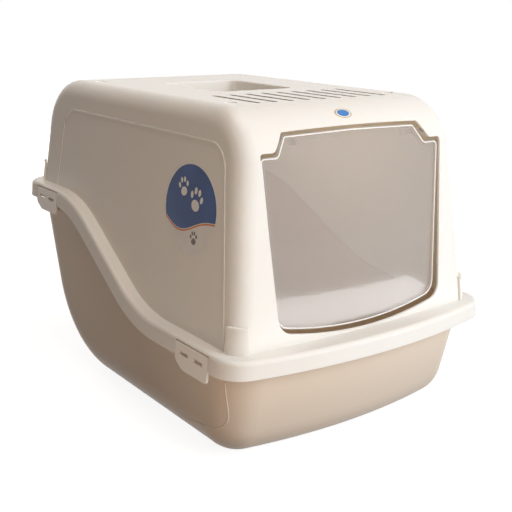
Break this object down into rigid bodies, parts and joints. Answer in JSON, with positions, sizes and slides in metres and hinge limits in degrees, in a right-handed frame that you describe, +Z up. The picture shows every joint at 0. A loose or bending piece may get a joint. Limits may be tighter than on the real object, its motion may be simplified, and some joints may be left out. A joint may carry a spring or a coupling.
{
  "type": "hooded cat litter box",
  "caption": "Covered litter box: deep tray, lift-off hood with an S-curved seam, smoky swing door, side clips, vents and a folding carry handle.",
  "frame": {"origin": "centre of the overall footprint, on the floor", "axes": "+Z up, the door faces -Y, +X to the right seen from the front"},
  "size_m": [0.3928, 0.56, 0.3825],
  "materials": {
    "tray_plastic": "satin taupe",
    "hood_plastic": "soft gloss off-white",
    "door_plastic": "clear smoky gloss",
    "charcoal": "matt felt"
  },
  "bodies": {
    "tray": {"litter_tray": "tray_plastic"},
    "hood": {"hood": "hood_plastic"},
    "flap": {"door_flap": "door_plastic"},
    "handle": {"carry_handle": "hood_plastic"},
    "filter": {"filter_frame": "hood_plastic", "carbon_filter": "charcoal"},
    "front_left_clip": {"front_left_clip": "hood_plastic"},
    "front_right_clip": {"front_right_clip": "hood_plastic"},
    "rear_left_clip": {"rear_left_clip": "hood_plastic"},
    "rear_right_clip": {"rear_right_clip": "hood_plastic"}
  },
  "joints": [
    {"name": "hood_lift", "type": "slide", "parent": "tray", "child": "hood", "axis": [0, 0, 1], "range_m": [0, 0.15]},
    {"name": "flap_swing", "type": "hinge", "parent": "hood", "child": "flap", "pos_m": [0, -0.20948, 0.345], "axis": [-1, 0, 0], "range_deg": [-75, 75]},
    {"name": "handle_fold", "type": "hinge", "parent": "hood", "child": "handle", "pos_m": [0, 0.03, 0.3665], "axis": [0, 1, 0], "range_deg": [0, 180]},
    {"name": "filter_drop", "type": "slide", "parent": "hood", "child": "filter", "axis": [0, 0, -1], "range_m": [0, 0.025]},
    {"name": "front_left_clip_swing", "type": "hinge", "parent": "hood", "child": "front_left_clip", "pos_m": [-0.19106, -0.187, 0.1296], "axis": [0, 1, 0], "range_deg": [0, 90]},
    {"name": "front_right_clip_swing", "type": "hinge", "parent": "hood", "child": "front_right_clip", "pos_m": [0.19106, -0.187, 0.1296], "axis": [0, -1, 0], "range_deg": [0, 90]},
    {"name": "rear_left_clip_swing", "type": "hinge", "parent": "hood", "child": "rear_left_clip", "pos_m": [-0.17983, 0.2, 0.2336], "axis": [0, 1, 0], "range_deg": [0, 90]},
    {"name": "rear_right_clip_swing", "type": "hinge", "parent": "hood", "child": "rear_right_clip", "pos_m": [0.17983, 0.2, 0.2336], "axis": [0, -1, 0], "range_deg": [0, 90]}
  ]
}
